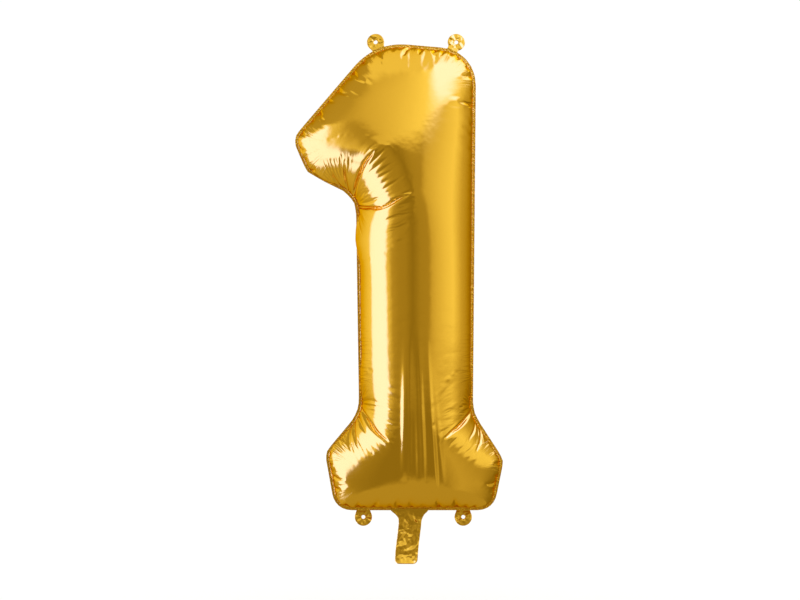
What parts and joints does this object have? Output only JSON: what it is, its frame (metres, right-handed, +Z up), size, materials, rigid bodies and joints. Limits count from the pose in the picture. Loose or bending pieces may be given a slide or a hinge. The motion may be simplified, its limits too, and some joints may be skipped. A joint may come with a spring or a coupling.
{
  "type": "foil number balloon",
  "caption": "Inflated metallic foil balloon shaped as the figure one, with hanging tabs and a filling neck holding a self-sealing valve.",
  "frame": {"origin": "midway between the two upper eyelets, in the seam plane", "axes": "+Z up the figure, +X to the right of the figure as it reads, -Y out of its front face"},
  "size_m": [0.3845, 0.2174, 0.9763],
  "materials": {
    "gold_foil": "polished",
    "sealed_gold_foil": "gloss",
    "clear_valve_film": "gloss"
  },
  "bodies": {
    "balloon": {"front_panel": "gold_foil", "back_panel": "gold_foil", "valve_front_film_in_body": "clear_valve_film", "valve_back_film_in_body": "clear_valve_film"},
    "neck": {"neck_front_ply": "sealed_gold_foil", "neck_back_ply": "sealed_gold_foil", "valve_front_film_in_neck": "clear_valve_film", "valve_back_film_in_neck": "clear_valve_film"},
    "tab_top_left": {"tab_top_left_front_ply": "sealed_gold_foil", "tab_top_left_back_ply": "sealed_gold_foil"},
    "tab_top_right": {"tab_top_right_front_ply": "sealed_gold_foil", "tab_top_right_back_ply": "sealed_gold_foil"},
    "tab_bottom_left": {"tab_bottom_left_front_ply": "sealed_gold_foil", "tab_bottom_left_back_ply": "sealed_gold_foil"},
    "tab_bottom_right": {"tab_bottom_right_front_ply": "sealed_gold_foil", "tab_bottom_right_back_ply": "sealed_gold_foil"}
  },
  "joints": [
    {"name": "neck_fold", "type": "hinge", "parent": "balloon", "child": "neck", "pos_m": [-0.012, 0, -0.8636], "axis": [-1, 0, 0], "range_deg": [-90, 90]},
    {"name": "tab_top_left_flex", "type": "hinge", "parent": "balloon", "child": "tab_top_left", "pos_m": [-0.06991, 0, -0.01177], "axis": [0.9315, 0, 0.3636], "range_deg": [-90, 90], "stiffness_Nm_per_rad": 0.0005},
    {"name": "tab_top_right_flex", "type": "hinge", "parent": "balloon", "child": "tab_top_right", "pos_m": [0.06735, 0, -0.01447], "axis": [0.8964, 0, -0.4433], "range_deg": [-90, 90], "stiffness_Nm_per_rad": 0.0005},
    {"name": "tab_bottom_left_flex", "type": "hinge", "parent": "balloon", "child": "tab_bottom_left", "pos_m": [-0.097, 0, -0.8636], "axis": [-1, 0, 0], "range_deg": [-90, 90], "stiffness_Nm_per_rad": 0.0005},
    {"name": "tab_bottom_right_flex", "type": "hinge", "parent": "balloon", "child": "tab_bottom_right", "pos_m": [0.087, 0, -0.8636], "axis": [-1, 0, 0], "range_deg": [-90, 90], "stiffness_Nm_per_rad": 0.0005}
  ]
}
